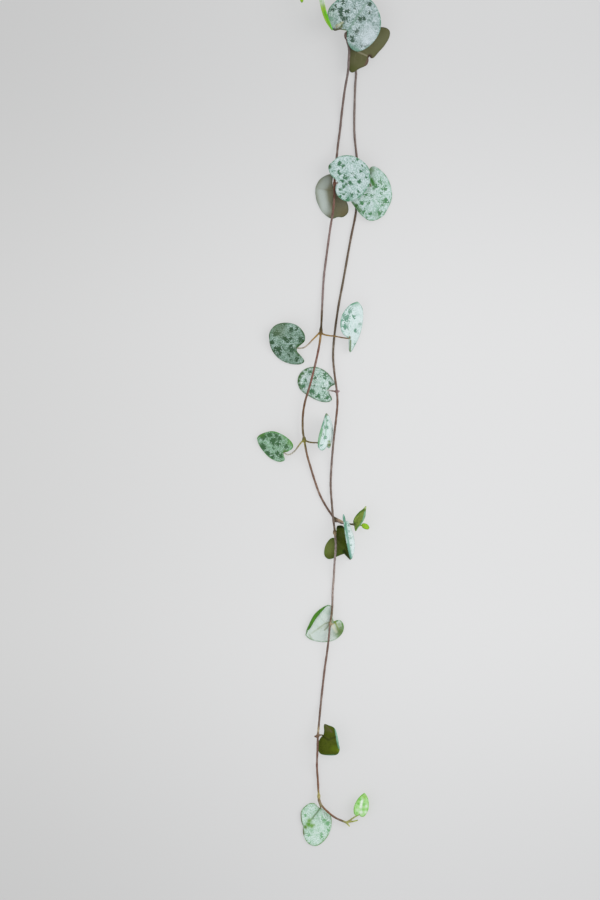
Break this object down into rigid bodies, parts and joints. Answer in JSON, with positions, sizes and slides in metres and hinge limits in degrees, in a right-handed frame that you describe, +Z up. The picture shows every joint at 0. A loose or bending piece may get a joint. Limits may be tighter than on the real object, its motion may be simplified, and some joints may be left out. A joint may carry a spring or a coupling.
{
  "type": "string of hearts",
  "caption": "Cut length of a trailing string of hearts vine, with thin forked stems and small heart-shaped leaves, lying on a flat surface.",
  "frame": {"origin": "The middle of the outline seen from above, at the height of the table that the vine rests on.", "axes": "+Y runs along the vine towards the cut end of the main stem, +X across it to the right seen from above, +Z up from the table. The picture looks straight down -Z with +Y at its top."},
  "size_m": [0.057, 0.3663, 0.0139],
  "materials": {
    "stem": "living stem, purple-brown, slightly waxy",
    "silver_leaf": "upper leaf skin, silver with dark green veins, satin and waxy",
    "leaf_underside": "leaf underside, olive brown, satin",
    "young_leaf": "young leaf skin, lime green, satin"
  },
  "bodies": {
    "root": {"stem_long": "stem", "stem_short": "stem", "leaf_sprout_long": "young_leaf", "leaf_sprout_small": "young_leaf", "leaf_crown_front": "silver_leaf", "leaf_crown_back": "leaf_underside", "leaf_mid_front": "silver_leaf", "leaf_mid_left": "leaf_underside", "leaf_mid_right": "silver_leaf", "leaf_third_left": "silver_leaf", "leaf_third_right": "silver_leaf", "leaf_fourth_centre": "silver_leaf", "leaf_fifth_left": "silver_leaf", "leaf_fifth_right": "silver_leaf", "leaf_sixth_edge": "silver_leaf", "leaf_sixth_back": "leaf_underside", "leaf_sixth_young": "leaf_underside", "leaf_sixth_bud": "young_leaf", "leaf_seventh": "leaf_underside", "leaf_eighth": "leaf_underside", "leaf_tip_left": "silver_leaf", "leaf_tip_young": "young_leaf"}
  },
  "joints": []
}
